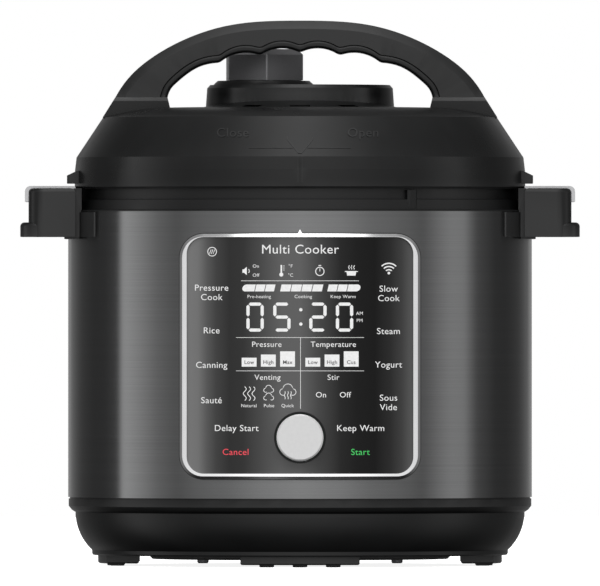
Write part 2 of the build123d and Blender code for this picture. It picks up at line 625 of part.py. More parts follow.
def diffusing_cover():
    """Six-sided cap that lifts off the release valve."""
    cap = hexagon(CAP_CIRCLE, CAP_LOW, CAP_TOP)
    cap = chamfer(cap.edges().group_by(Axis.Z)[-1], 3.4)
    cap = fillet(cap.edges().filter_by(Axis.Z), 1.2)
    cap -= disc(19.5, CAP_LOW - 1, CAP_TOP - 2.4)
    for hole in around(disc(1.3, CAP_TOP - 5, CAP_TOP + 1, 11.0), 8):
        cap -= hole
    return Pos(CAP_X, CAP_Y, 0) * cap


def release_pipe():
    pipe = disc(5.0, 240.0, 296.0) + disc(8.0, 243.8, 246.0)
    return Pos(CAP_X, CAP_Y, 0) * (fillet(pipe.edges().group_by(Axis.Z)[-1], 1.0) - disc(1.8, 230, 300))


def pipe_nut():
    nut = Pos(0, 0, LINER_TOP) * extrude(RegularPolygon(8.6, 6), 4.5) - disc(5.05, 240, 260)
    return Pos(CAP_X, CAP_Y, 0) * nut


def release_valve():
    """Loose weight that sits on the pipe and keeps the pressure in."""
    weight = turned((5.3, 292.4), (11.0, 292.4), (13.0, 294.4), (13.0, 301.0), (11.0, 303.6), (0, 303.6), (0, 296.1),
                    (5.3, 296.1))
    return Pos(CAP_X, CAP_Y, 0) * weight


def float_valve():
    pin = turned((0, 236.0), (2.6, 236.0), (3.3, 240.0), (3.3, 283.8), (5.6, 283.8), (5.6, 285.0), (5.0, 285.8),
                 (0, 285.8))
    return Pos(FLOAT_X, FLOAT_Y, 0) * (pin - tube(4.0, 2.5, 237.0, 238.6))


def float_seal():
    """Silicone ring in the groove at the float valve's foot."""
    return Pos(FLOAT_X, FLOAT_Y, 0) * fillet(tube(5.4, 2.5, 237.0, 238.6).edges().group_by(Axis.Z)[0], 0.3)


def anti_block_shield():
    """Slotted cap that keeps food out of the release pipe."""
    shield = disc(13.5, 232.0, 246.0) - disc(12.6, 232.9, 250.0)
    shield = fillet(shield.edges().group_by(Axis.Z)[0], 0.6)
    for slot in around(block((10, 16), (-1.2, 1.2), (235, 242)), 8):
        shield -= slot
    return Pos(CAP_X, CAP_Y, 0) * shield


# ---- Lid: liner, seal, lock ----

def lid_liner():
    """Steel inner lid: domed centre, ring ceiling, skirt, and lugs that turn inward."""
    outer, inner = LINER_RADIUS, LINER_RADIUS - 1
    liner = turned((121.4, LINER_LOW), (outer, LINER_LOW), (outer, LINER_CEILING), (108.0, LINER_CEILING),
                   (97.0, LINER_TOP), (0, LINER_TOP), (0, LINER_TOP - 1), (96.4, LINER_TOP - 1),
                   (107.0, LINER_CEILING - 1), (inner, LINER_CEILING - 1), (inner, LINER_LOW + 1.6),
                   (121.4, LINER_LOW + 1.6))
    cutter = tube(inner, 120, LINER_LOW - 1, LINER_LOW + 2)
    for step in range(LUGS):
        liner -= cutter & wedge(160, 60.0 - LUG_ANGLE, LINER_LOW - 1, LINER_LOW + 2, step * 60.0 + 30.0)
    liner -= disc(5.1, 240, 250, CAP_X, CAP_Y) + disc(3.5, 240, 250, FLOAT_X, FLOAT_Y)
    for hole in around(disc(1.7, 240, 250, 70.0), 3, 90.0):
        liner -= hole
    return liner


def liner_screws():
    return around(screw(3.6, 1.5, LINER_TOP - 1, 262.0, 70.0), 3, 90.0)


def ring_rack():
    """Wire ring under the liner that holds the sealing ring."""
    rack = Pos(0, 0, 223.4) * Torus(106.6, 1.1)
    for post in around(disc(0.8, 223.4, LINER_CEILING - 0.9, 107.2), 6):
        rack += post
    return rack - disc(300, LINER_CEILING - 1, 240)


def sealing_ring():
    """Silicone ring with a flexible lip that presses on the pot's rim."""
    return turned((109.0, 220.9), (117.6, 220.9), (117.6, 222.4), (112.4, 223.4), (112.4, 227.6), (119.0, 228.4),
                  (119.0, 230.9), (109.0, 230.9))


def lock_guide():
    """Bracket on the liner that guides the lock pin."""
    guide = block((FLOAT_X - 7, FLOAT_X + 7), (72, 84), (LINER_TOP, 258))
    return guide - round_bar_y(3.05, 60, 100, FLOAT_X, 252.5)


def lock_pin():
    pin = round_bar_y(3.0, 48.6, 106.0, FLOAT_X, 252.5)
    return pin + round_bar_y(5.4, 103.0, 105.0, FLOAT_X, 252.5)


def lock_spring():
    """Return spring between the guide and the pin's flange."""
    coil = spring(4.3, 0.5, 0.0, 18.6, 6)
    return Pos(FLOAT_X, 84.2, 252.5) * Rot(X=-90) * coil


def main():
    os.makedirs("parts", exist_ok=True)
    write("base_shell", base_shell())
    write("bottom_cover", bottom_cover())
    write("base_screws", around(screw(3.4, 1.5, COVER_LOW, 18.0, 82.0), 4, 45.0))
    write("feet", around(foot(), 4))
    write("foot_pads", foot_pads())
    write("housing_shell", housing_shell())
    write("collar", collar())
    write("side_handle_right", side_handle())
    write("side_handle_left", mirrored(side_handle()))
    write("side_trim_right", side_trim())
    write("side_trim_left", mirrored(side_trim()))
    write("handle_bolts", handle_bolts(), [mirrored(bolt) for bolt in handle_bolts()])
    write("outer_pot", outer_pot())
    write("inner_pot", inner_pot())
    write("pot_grips", pot_grips())
    write("heating_plate", heating_plate())
    write("heating_coil", heating_coil())
    write("heater_posts", heater_posts())
    write("sensor_bracket", sensor_bracket())
    write("sensor_plunger", sensor_plunger())
    write("sensor_spring", spring(6.0, 0.6, 41.3, 62.0, 5))
    write("pressure_switch", pressure_switch())
    write("power_board", power_board())
    write("board_parts", board_parts())
    write("power_inlet", power_inlet())
    write("inlet_pins", inlet_pins())
    write("wiring", wiring())
    write("panel_carrier", panel_carrier())
    write("panel_frame", panel_frame())
    write("panel_lens", panel_lens())
    write("control_board", control_board())
    write("display_module", display_module())
    write("encoder_body", encoder_body())
    write("encoder_rotor", encoder_rotor())
    write("dial_shaft", dial_shaft())
    write("dial_knob", dial_knob())
    write("condensation_cup", condensation_cup())
    write("cup_bracket", cup_bracket())
    write("drain_spout", drain_spout())
    write("lid_shell", lid_shell())
    write("lid_handle", lid_handle())
    write("handle_underside", handle_underside())
    write("handle_screws", handle_screws())
    write("vent_pod", vent_pod())
    write("diffusing_cover", diffusing_cover())
    write("release_pipe", release_pipe())
    write("pipe_nut", pipe_nut())
    write("release_valve", release_valve())
    write("float_valve", float_valve())
    write("float_seal", float_seal())
    write("anti_block_shield", anti_block_shield())
    write("lid_liner", lid_liner())
    write("liner_screws", liner_screws())
    write("ring_rack", ring_rack())
    write("sealing_ring", sealing_ring())
    write("lock_guide", lock_guide())
    write("lock_pin", lock_pin())
    write("lock_spring", lock_spring())


main()
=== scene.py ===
"""Looks of the electric pressure cooker: materials, panel legends, lid marks, light and camera."""

import json
import math

import bmesh
import bpy
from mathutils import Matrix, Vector


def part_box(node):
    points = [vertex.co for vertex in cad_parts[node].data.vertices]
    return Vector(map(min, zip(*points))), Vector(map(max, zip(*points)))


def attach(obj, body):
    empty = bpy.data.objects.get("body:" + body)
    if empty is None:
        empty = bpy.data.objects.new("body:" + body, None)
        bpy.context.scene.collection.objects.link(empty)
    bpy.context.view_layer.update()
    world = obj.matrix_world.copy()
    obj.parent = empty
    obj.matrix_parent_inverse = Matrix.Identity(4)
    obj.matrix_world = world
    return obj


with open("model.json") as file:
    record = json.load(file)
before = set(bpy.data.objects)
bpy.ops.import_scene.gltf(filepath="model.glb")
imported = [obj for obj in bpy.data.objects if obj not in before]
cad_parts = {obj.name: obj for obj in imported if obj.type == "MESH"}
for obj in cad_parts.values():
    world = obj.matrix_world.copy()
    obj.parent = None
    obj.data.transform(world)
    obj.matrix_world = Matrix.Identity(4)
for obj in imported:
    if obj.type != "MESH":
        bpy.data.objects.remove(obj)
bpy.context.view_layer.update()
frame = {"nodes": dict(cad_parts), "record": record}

MM = 0.001
NODES = frame["nodes"]

# The panel's box and the top of the handle, read from the frame, in metres.
LENS_LOW, LENS_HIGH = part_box("panel_lens")
LENS_RADIUS = -LENS_LOW.y
HANDLE_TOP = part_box("lid_handle")[1].z

# Printing stands this far off the panel, and is this thick. The dark words show through the white bars,
# so they are thicker. The raised marks on the lid start just inside its face.
PRINT_LIFT = 0.03 * MM
PRINT_DEPTH = 0.07 * MM
DARK_PRINT_DEPTH = 1.8 * PRINT_DEPTH
MARK_SINK = 0.03 * MM
MARK_DEPTH = 0.3 * MM

# Edges that turn by more than this stay sharp in the shading.
SHARP_TURN = math.radians(28)

# Most values of a noise texture lie between these two.
NOISE_LOW, NOISE_HIGH = 0.3, 0.7


# ---- Node helpers ----

class Shader:
    """A principled material built up node by node."""

    def __init__(self, name, colour, roughness, metallic=0.0):
        self.material = bpy.data.materials.new(name)
        self.material.use_nodes = True
        self.tree = self.material.node_tree
        self.base = self.tree.nodes["Principled BSDF"]
        self.colour = colour
        self.roughness = roughness
        self.base.inputs["Metallic"].default_value = metallic
        self.normal = None
        self.coords = self.tree.nodes.new("ShaderNodeTexCoord")

    def node(self, kind, **settings):
        made = self.tree.nodes.new(kind)
        for key, value in settings.items():
            setattr(made, key, value)
        return made

    def link(self, out, socket):
        self.tree.links.new(out, socket)

    def constant(self, **sockets):
        for key, value in sockets.items():
            self.base.inputs[key.replace("_", " ")].default_value = value

    def noise(self, scale, stretch=(1, 1, 1), detail=4.0, rough=0.55):
        """Noise fixed to the object, squeezed along each axis by the stretch."""
        mapping = self.node("ShaderNodeMapping")
        mapping.inputs["Scale"].default_value = stretch
        self.link(self.coords.outputs["Object"], mapping.inputs["Vector"])
        noise = self.node("ShaderNodeTexNoise")
        noise.inputs["Scale"].default_value = scale
        noise.inputs["Detail"].default_value = detail
        noise.inputs["Roughness"].default_value = rough
        self.link(mapping.outputs["Vector"], noise.inputs["Vector"])
        return noise.outputs["Fac"]

    def ramp(self, factor, stops):
        """Colour that changes through the stops, each a place from 0 to 1 and a colour."""
        ramp = self.node("ShaderNodeValToRGB")
        points = ramp.color_ramp.elements
        while len(points) < len(stops):
            points.new(0.5)
        for point, (place, colour) in zip(points, stops):
            point.position = place
            point.color = (*colour, 1.0)
        self.link(factor, ramp.inputs["Fac"])
        return ramp.outputs["Color"]

    def spread(self, factor, low, high):
        """Stretches a noise over the range from low to high."""
        spread = self.node("ShaderNodeMapRange")
        spread.inputs["From Min"].default_value = NOISE_LOW
        spread.inputs["From Max"].default_value = NOISE_HIGH
        spread.inputs["To Min"].default_value = low
        spread.inputs["To Max"].default_value = high
        self.link(factor, spread.inputs["Value"])
        return spread.outputs["Result"]

    def tint(self, factor, amount):
        """Base colour that drifts a little lighter and darker."""
        dark = tuple(c * (1 - amount) for c in self.colour)
        light = tuple(min(1.0, c * (1 + amount)) for c in self.colour)
        drift = self.ramp(factor, [(NOISE_LOW, dark), (NOISE_HIGH, light)])
        self.link(drift, self.base.inputs["Base Color"])

    def bump(self, factor, strength, distance):
        """Fine relief, added to any that is there already."""
        bump = self.node("ShaderNodeBump")
        bump.inputs["Strength"].default_value = strength
        bump.inputs["Distance"].default_value = distance
        self.link(factor, bump.inputs["Height"])
        if self.normal is not None:
            self.link(self.normal, bump.inputs["Normal"])
        self.normal = bump.outputs["Normal"]
        self.link(self.normal, self.base.inputs["Normal"])

    def worn(self, cloud, low, high):
        """Roughness that changes in soft patches, as handled surfaces do."""
        self.link(self.spread(cloud, low, high), self.base.inputs["Roughness"])

    def edge_light(self, amount):
        """Paler corners, where a moulded edge has been rubbed."""
        black, white, rubbed = (0, 0, 0), (1, 1, 1), (0.2, 0.2, 0.2, 1.0)
        geometry = self.node("ShaderNodeNewGeometry")
        edges = self.ramp(geometry.outputs["Pointiness"], [(0.52, black), (0.6, white)])
        mix = self.node("ShaderNodeMix", data_type="RGBA", blend_type="ADD")
        source = self.base.inputs["Base Color"].links[0].from_socket
        scaled = self.node("ShaderNodeMath", operation="MULTIPLY")
        scaled.inputs[1].default_value = amount
        self.link(edges, scaled.inputs[0])
        self.link(scaled.outputs[0], mix.inputs["Factor"])
        self.link(source, mix.inputs["A"])
        mix.inputs["B"].default_value = rubbed
        self.link(mix.outputs["Result"], self.base.inputs["Base Color"])


def moulded_plastic(name, colour, roughness, grain=1400.0, bump=0.12, edge=0.06):
    """Moulded plastic: a fine pebbled skin with soft patches of gloss."""
    shader = Shader(name, colour, roughness)
    shader.constant(Specular_IOR_Level=0.22)
    cloud = shader.noise(24.0)
    shader.tint(cloud, 0.12)
    shader.worn(cloud, roughness - 0.05, roughness + 0.06)
    shader.bump(shader.noise(grain, detail=2.0), bump, 0.04 * MM)
    if edge:
        shader.edge_light(edge)
    return shader.material


def brushed_metal(name, colour, roughness, stretch, anisotropic=0.8, streak=0.12, turned=True):
    """Brushed metal: fine streaks, and highlights drawn out across them, round the axis where turned."""
    shader = Shader(name, colour, roughness, metallic=1.0)
    lines = shader.noise(1.0, stretch=stretch, detail=6.0, rough=0.7)
    shader.tint(lines, streak)
    shader.worn(lines, roughness - 0.04, roughness + 0.05)
    shader.bump(lines, 0.1, 0.005 * MM)
    shader.constant(Anisotropic=anisotropic, Anisotropic_Rotation=0.25)
    if turned:
        tangent = shader.node("ShaderNodeTangent", direction_type="RADIAL", axis="Z")
        shader.link(tangent.outputs["Tangent"], shader.base.inputs["Tangent"])
    return shader.material


def cast_metal(name, colour, roughness, grain=300.0, bump=0.25):
    """Cast or plated metal with a fine even grain."""
    shader = Shader(name, colour, roughness, metallic=1.0)
    cloud = shader.noise(grain)
    shader.tint(cloud, 0.12)
    shader.worn(cloud, roughness - 0.05, roughness + 0.1)
    shader.bump(cloud, bump, 0.03 * MM)
    return shader.material


def soft_rubber(name, colour):
    """Matt rubber with a fine grain."""
    shader = Shader(name, colour, 0.75)
    cloud = shader.noise(60.0)
    shader.tint(cloud, 0.2)
    shader.worn(cloud, 0.65, 0.85)
    shader.bump(shader.noise(900.0), 0.3, 0.05 * MM)
    return shader.material


def polished_chrome():
    """Polished chrome of the panel's frame, hardly marked."""
    shader = Shader("polished_chrome", (0.93, 0.93, 0.94), 0.1, metallic=1.0)
    cloud = shader.noise(40.0)
    shader.tint(cloud, 0.03)
    shader.worn(cloud, 0.08, 0.14)
    return shader.material


# Grey of the panel's base colour across its width, from the left edge (0) to the right (1): a dark smoke
# tint with painted reflection, bright and dark upright bands standing in for the studio's reflection.
PAINTED_REFLECTION_BANDS = [(0.0, 0.16), (0.05, 0.138), (0.09, 0.075), (0.13, 0.039), (0.19, 0.018), (0.25, 0.02),
         (0.33, 0.046), (0.42, 0.085), (0.5, 0.085), (0.58, 0.04), (0.68, 0.006), (0.75, 0.001),
         (0.83, 0.001), (0.9, 0.014), (0.95, 0.036), (1.0, 0.082)]


def smoked_film_painted_reflection():
    """Gloss panel film: dark smoke tint with painted reflection in soft upright bands, under a hard clear
    coat.
    """
    shader = Shader("smoked_film_painted_reflection", (0.012, 0.0125, 0.013), 0.3)
    split = shader.node("ShaderNodeSeparateXYZ")
    shader.link(shader.coords.outputs["Object"], split.inputs[0])
    across = shader.node("ShaderNodeMapRange")
    across.inputs["From Min"].default_value = LENS_LOW.x
    across.inputs["From Max"].default_value = LENS_HIGH.x
    shader.link(split.outputs["X"], across.inputs["Value"])
    # Painted reflection: the upright bands of grey across the width set the base colour.
    tint = shader.ramp(across.outputs["Result"], [(place, (level, level, level)) for place, level in PAINTED_REFLECTION_BANDS])
    cloud = shader.noise(9.0, detail=2.0)
    faint, clear = (0.94, 0.94, 0.94), (1, 1, 1)
    patches = shader.ramp(cloud, [(NOISE_LOW, faint), (NOISE_HIGH, clear)])
    mottle = shader.node("ShaderNodeMix", data_type="RGBA", blend_type="MULTIPLY")
    mottle.inputs["Factor"].default_value = 1.0
    shader.link(tint, mottle.inputs["A"])
    shader.link(patches, mottle.inputs["B"])
    shader.link(mottle.outputs["Result"], shader.base.inputs["Base Color"])
    shader.worn(cloud, 0.26, 0.34)
    shader.constant(Specular_IOR_Level=0.06, Coat_Weight=0.2, Coat_Roughness=0.1)
    return shader.material


def printed_ink_painted_glow(name, colour):
    """Screen-printed ink, a little uneven, with a painted glow: it sends out its own colour as light, though
    it is no lamp.
    """
    shader = Shader(name, colour, 0.5)
    cloud = shader.noise(700.0, detail=2.0)
    shader.tint(cloud, 0.06)
    drift = shader.base.inputs["Base Color"].links[0].from_socket
    # Painted glow: the ink's own colour is also sent out as emission.
    shader.link(drift, shader.base.inputs["Emission Color"])
    shader.constant(Emission_Strength=0.2)
    return shader.material


def satin_silver():
    """Silver paint on the dial, with faint turned lines."""
    shader = Shader("satin_silver", (0.5, 0.5, 0.5), 0.4)
    lines = shader.noise(1.0, stretch=(500, 20, 500), detail=3.0)
    shader.tint(lines, 0.03)
    shader.worn(lines, 0.34, 0.44)
    shader.bump(lines, 0.05, 0.01 * MM)
    shader.constant(Metallic=0.25)
    return shader.material


def dark_mirror():
    """Dark metallised plastic of the steam cap."""
    shader = Shader("dark_mirror", (0.15, 0.15, 0.155), 0.3, metallic=0.7)
    fine = shader.noise(900.0, detail=2.0)
    shader.tint(fine, 0.04)
    shader.worn(fine, 0.3, 0.36)
    return shader.material


def clear_moulding():
    """Clear moulded plastic of the condensation cup."""
    shader = Shader("clear_moulding", (0.86, 0.88, 0.89), 0.12)
    cloud = shader.noise(50.0)
    shader.tint(cloud, 0.04)
    shader.worn(cloud, 0.08, 0.2)
    shader.constant(Transmission_Weight=0.85, IOR=1.49)
    return shader.material


def solder_mask():
    """Green circuit board with paler track lines."""
    shader = Shader("solder_mask", (0.015, 0.12, 0.05), 0.35)
    tracks = shader.node("ShaderNodeTexBrick")
    tracks.inputs["Scale"].default_value = 160.0
    tracks.inputs["Mortar Size"].default_value = 0.012
    tracks.inputs["Color1"].default_value = (0.012, 0.10, 0.04, 1)
    tracks.inputs["Color2"].default_value = (0.016, 0.13, 0.055, 1)
    tracks.inputs["Mortar"].default_value = (0.03, 0.24, 0.1, 1)
    shader.link(shader.coords.outputs["Object"], tracks.inputs["Vector"])
    shader.link(tracks.outputs["Color"], shader.base.inputs["Base Color"])
    shader.worn(shader.noise(80.0), 0.3, 0.45)
    return shader.material


def silicone_gel():
    """Whitish silicone of the seals, which lets a little light through."""
    shader = Shader("silicone_gel", (0.75, 0.75, 0.72), 0.45)
    cloud = shader.noise(40.0)
    shader.tint(cloud, 0.05)
    shader.worn(cloud, 0.4, 0.55)
    shader.constant(Subsurface_Weight=0.3, Subsurface_Scale=2.0 * MM)
    return shader.material


def make_materials():
    """One finished material for each of the record's material slots."""
    return {
        "black_plastic": moulded_plastic("black_moulding", (0.0048, 0.005, 0.0051), 0.36),
        "lid_plastic": moulded_plastic("lid_moulding", (0.0036, 0.0038, 0.0039), 0.3, bump=0.08),
        "rubber": soft_rubber("foot_rubber", (0.015, 0.015, 0.015)),
        "cover_steel": moulded_plastic("powder_coat", (0.012, 0.012, 0.012), 0.6, grain=900.0,
                                       bump=0.3),
        "fastener": cast_metal("dark_zinc", (0.07, 0.07, 0.074), 0.42),
        "black_steel": brushed_metal("black_brushed_steel", (0.124, 0.125, 0.126), 0.19, (3, 3, 2600),
                                     anisotropic=0.85),
        "brushed_steel": brushed_metal("brushed_steel", (0.6, 0.6, 0.61), 0.3, (6, 6, 1800)),
        "trim_steel": brushed_metal("satin_strap", (0.33, 0.33, 0.335), 0.4, (600, 3, 600), turned=False),
        "grip_plastic": moulded_plastic("grip_moulding", (0.018, 0.018, 0.018), 0.5),
        "cast_aluminium": brushed_metal("machined_casting", (0.55, 0.55, 0.56), 0.4, (900, 900, 900)),
        "sensor_aluminium": cast_metal("spun_aluminium", (0.66, 0.66, 0.67), 0.3, grain=600.0),
        "circuit_board": solder_mask(),
        "components": moulded_plastic("component_moulding", (0.02, 0.02, 0.022), 0.4, edge=0.0),
        "brass": cast_metal("plated_brass", (0.78, 0.6, 0.3), 0.25),
        "lead": soft_rubber("lead_insulation", (0.35, 0.05, 0.04)),
        "chrome": polished_chrome(),
        "smoked_panel": smoked_film_painted_reflection(),
        "silver_knob": satin_silver(),
        "clear_plastic": clear_moulding(),
        "metal_look": dark_mirror(),
        "silicone": silicone_gel(),
    }


def dress(materials):
    """Gives every CAD node the material of its slot."""
    slots = {part["node"]: part["material_slot"] for part in frame["record"]["subparts"]}
    for name, node in NODES.items():
        node.data.materials.clear()
        node.data.materials.append(materials[slots[name]])
        node.data.shade_smooth()
        node.data.set_sharp_from_angle(angle=SHARP_TURN)
        for face in node.data.polygons:
            face.material_index = 0


# ---- Drawing on curved surfaces ----

# Height of a capital as a share of the typeface's size, then how much letters are widened and spaced.
CAP_SHARE = 0.63
LETTER_WIDTH = 1.04
LETTER_SPACE = 1.06

# Widest piece of a bar, in millimetres.
BAR_STEP = 3.0

# Radius and height of the foot and top of the lid's cone, in millimetres, as in the CAD.
CONE_FOOT = (134.1, 244.6)
CONE_TOP = (118.2, 268.6)


class Artwork:
    """Flat shapes in millimetres, (across, height), laid on a curved face as one thin mesh."""

    def __init__(self):
        self.points = []
        self.faces = []

    def polygon(self, points):
        """One flat face through the points."""
        first = len(self.points)
        self.points += points
        self.faces.append(tuple(range(first, first + len(points))))

    def stroke(self, points, width, closed=False):
        """A line of even width through the points."""
        count = len(points)
        first = len(self.points)
        for i, (x, z) in enumerate(points):
            before = points[i - 1] if i or closed else points[i]
            after = points[(i + 1) % count] if i < count - 1 or closed else points[i]
            along = Vector((after[0] - before[0], after[1] - before[1])).normalized()
            side = Vector((-along.y, along.x)) * width / 2
            self.points += [(x + side.x, z + side.y), (x - side.x, z - side.y)]
        for i in range(count if closed else count - 1):
            a, b = first + 2 * i, first + 2 * ((i + 1) % count)
            self.faces.append((a, a + 1, b + 1, b))

    def arc(self, x, z, radius, start, end, width, steps=20):
        """Part of a circle, or all of it, from one angle in degrees to another."""
        whole = abs(end - start) >= 360
        count = steps if whole else steps + 1
        turns = [math.radians(start + (end - start) * i / steps) for i in range(count)]
        points = [(x + radius * math.cos(t), z + radius * math.sin(t)) for t in turns]
        self.stroke(points, width, closed=whole)

    def dot(self, x, z, radius, steps=18):
        """A filled circle."""
        turns = [math.tau * i / steps for i in range(steps)]
        self.polygon([(x + radius * math.cos(t), z + radius * math.sin(t)) for t in turns])

    def bar(self, x0, x1, z0, z1, slant=0.0):
        """Upright or slanted bar, cut across its width so that it can follow the curve."""
        pieces = max(1, round(abs(x1 - x0) / BAR_STEP))
        for i in range(pieces):
            a = x0 + (x1 - x0) * i / pieces
            b = x0 + (x1 - x0) * (i + 1) / pieces
            self.polygon([(a, z0), (b, z0), (b + slant, z1), (a + slant, z1)])

    def text(self, words, x, z, cap_height, weight=0.0):
        """Words centred on a point, with capitals of the given height."""
        curve = bpy.data.curves.new("words", "FONT")
        curve.body = words
        curve.size = cap_height / CAP_SHARE
        curve.align_x = "CENTER"
        curve.resolution_u = 4
        curve.space_character = LETTER_SPACE
        curve.offset = weight
        thing = bpy.data.objects.new("words", curve)
        bpy.context.scene.collection.objects.link(thing)
        bpy.context.view_layer.update()
        evaluated = thing.evaluated_get(bpy.context.evaluated_depsgraph_get())
        mesh = bpy.data.meshes.new_from_object(evaluated)
        first = len(self.points)
        self.points += [(x + v.co.x * LETTER_WIDTH, z + v.co.y - cap_height / 2) for v in mesh.vertices]
        self.faces += [tuple(first + i for i in face.vertices) for face in mesh.polygons]
        bpy.data.objects.remove(thing)
        bpy.data.meshes.remove(mesh)

    def piece(self, name, surface, material, body, slot, depth):
        """Wraps the shapes on a surface and gives them thickness outward."""
        shape = bmesh.new()
        verts = [shape.verts.new(surface(x * MM, z * MM)) for x, z in self.points]
        for face in self.faces:
            if len(set(face)) > 2:
                shape.faces.new([verts[i] for i in face])
        bmesh.ops.remove_doubles(shape, verts=shape.verts, dist=1e-7)
        bmesh.ops.recalc_face_normals(shape, faces=shape.faces)
        for face in shape.faces:
            face.normal_update()
            if face.normal.y > 0:
                face.normal_flip()
        mesh = bpy.data.meshes.new(name)
        shape.to_mesh(mesh)
        shape.free()
        thing = bpy.data.objects.new(name, mesh)
        bpy.context.scene.collection.objects.link(thing)
        solid = thing.modifiers.new("thickness", "SOLIDIFY")
        solid.thickness = depth
        solid.offset = 1.0
        mesh.materials.append(material)
        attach(thing, body)
        return thing


def on_lens(x, z):
    """Point on the panel's face, as seen straight from the front."""
    radius = LENS_RADIUS + PRINT_LIFT
    return Vector((x, -math.sqrt(radius ** 2 - x ** 2), z))


def on_cone(x, z):
    """Point on the lid's cone, a little inside its face."""
    foot, top = Vector(CONE_FOOT) * MM, Vector(CONE_TOP) * MM
    share = (z - foot.y) / (top.y - foot.y)
    radius = foot.x + (top.x - foot.x) * share - MARK_SINK
    return Vector((x, -math.sqrt(radius ** 2 - x ** 2), z))


# ---- Panel legends ----

# All in millimetres: across from the middle of the panel, and up from the floor.
TITLE, CAP, HEADING, CAPTION, BAR_WORD = 4.8, 3.3, 2.9, 1.75, 1.95
LEFT, RIGHT = -52.6, 52.6
RULE = 0.26


def function_names(art):
    """Columns of function names either side of the display."""
    for words, x, z in (("Pressure", LEFT, 166.4), ("Cook", LEFT, 160.8), ("Rice", LEFT, 141.0),
                        ("Canning", LEFT, 120.5), ("Sauté", LEFT, 99.5), ("Slow", RIGHT, 165.8),
                        ("Cook", RIGHT, 160.2), ("Steam", RIGHT, 140.6), ("Yogurt", RIGHT, 120.7),
                        ("Sous", RIGHT, 101.0), ("Vide", RIGHT, 95.4), ("Delay Start", -37.8, 83.0),
                        ("Keep Warm", 36.0, 83.0)):
        art.text(words, x, z, CAP)


def headings(art):
    """Section names, rules and small captions."""
    for words, x, z in (("Pressure", -19.8, 132.8), ("Temperature", 19.8, 132.8),
                        ("Venting", -19.3, 113.2), ("Stir", 19.8, 113.2), ("On", 12.5, 102.8),
                        ("Off", 26.8, 102.8)):
        art.text(words, x, z, HEADING)
    for z, half in ((170.6, 35.0), (136.9, 38.0), (117.1, 38.0)):
        art.bar(-half, half, z - RULE / 2, z + RULE / 2)
    divider = 0.3
    art.bar(divider - RULE / 2, divider + RULE / 2, 94.6, 136.9)
    for words, x in (("Pre-heating", -24.3), ("Cooking", 1.9), ("Keep Warm", 25.6)):
        art.text(words, x, 161.2, CAPTION)
    for words, x in (("Natural", -30.4), ("Pulse", -18.4), ("Quick", -7.4)):
        art.text(words, x, 96.4, CAPTION)
    for words, x, z in (("On", -26.2, 179.3), ("Off", -26.2, 173.9), ("°F", -5.6, 179.3),
                        ("°C", -5.6, 173.9), ("AM", 35.4, 151.2), ("PM", 35.4, 147.0)):
        art.text(words, x, z, CAPTION)


def progress_bar(art):
    """Ten slanted cells in three groups, with round ends."""
    low, high, gap, slant = 164.3, 168.4, 0.45, 0.9
    left, right = -32.6, 33.8
    for start, end, cells in ((left, -15.0, 3), (-11.8, 13.4, 4), (16.2, right, 3)):
        width = (end - start) / cells
        for i in range(cells):
            art.bar(start + i * width, start + (i + 1) * width - gap, low, high, slant=slant)
    middle, radius = (low + high) / 2, (high - low) / 2
    for x, turn in ((left, 1), (right - gap, -1)):
        bend = [math.radians(90 * turn + 15 * i) for i in range(13)]
        lean = [slant * (1 + math.sin(t)) / 2 for t in bend]
        art.polygon([(x + radius * math.cos(t) + shift, middle + radius * math.sin(t))
                     for t, shift in zip(bend, lean)])


def level_bars(art, names):
    """Three rising level bars under each heading, with their words over them in dark ink."""
    pitch, width, foot, first, rise = 11.4, 8.8, 119.6, 124.9, 1.9
    for start, words in ((-34.6, ("Low", "High", "Max")), (3.2, ("Low", "High", "Cus"))):
        for i, word in enumerate(words):
            x = start + i * pitch
            art.bar(x, x + width, foot, first + rise * i)
            names.text(word, x + width / 2, 122.2, BAR_WORD, weight=0.03)


# Lit segments of each figure: a is the top one, b to f follow clockwise, and g is the middle one.
SEGMENTS = {"0": "abcdef", "5": "afgcd", "2": "abged"}


def digit(art, figure, x, z, width, height, stroke):
    """Seven-segment figure from its lower left corner."""
    half, tip, inset = height / 2, stroke / 2, 0.35
    for name in SEGMENTS[figure]:
        if name in "adg":
            mid = z + {"a": height - tip, "g": half, "d": tip}[name]
            a, b = x + tip + inset, x + width - tip - inset
            art.polygon([(a, mid), (a + tip, mid - tip), (b - tip, mid - tip), (b, mid),
                         (b - tip, mid + tip), (a + tip, mid + tip)])
        else:
            side = x + (tip if name in "ef" else width - tip)
            low = z + (half if name in "bf" else tip) + inset
            high = z + (height - tip if name in "bf" else half) - inset
            art.polygon([(side, low), (side + tip, low + tip), (side + tip, high - tip), (side, high),
                         (side - tip, high - tip), (side - tip, low + tip)])


def clock(art):
    """The display's time."""
    foot, width, height, stroke = 140.4, 10.3, 17.3, 1.9
    for figure, x in (("0", -31.8), ("5", -15.9), ("2", 5.5), ("0", 21.3)):
        digit(art, figure, x, foot, width, height, stroke)
    for z in (153.4, 144.9):
        art.dot(0.5, z, 1.0)


def wave(x, z, height, swing, turns=1.5, steps=16):
    """Points of an upright wavy line about its middle."""
    shares = [i / steps for i in range(steps + 1)]
    return [(x + swing * math.sin(math.tau * turns * share), z + height * (share - 0.5)) for share in shares]


def cloud(art, x, z, size):
    """Outline of a puff of steam from three lobes."""
    lobes = ((-2.2, -0.5, 1.5, 95, 300), (0.0, 1.0, 2.2, 10, 170), (2.2, -0.5, 1.5, -120, 85))
    for dx, dz, radius, start, end in lobes:
        art.arc(x + dx * size, z + dz * size, radius * size, start, end, 0.36, steps=14)


def badge(art, x, z):
    """Ring with three slanted strokes."""
    art.arc(x, z, 2.6, 0, 360, 0.45)
    for shift in (-1.1, 0.0, 1.1):
        art.stroke([(x + shift - 0.5, z - 1.3), (x + shift + 0.5, z + 1.3)], 0.35)


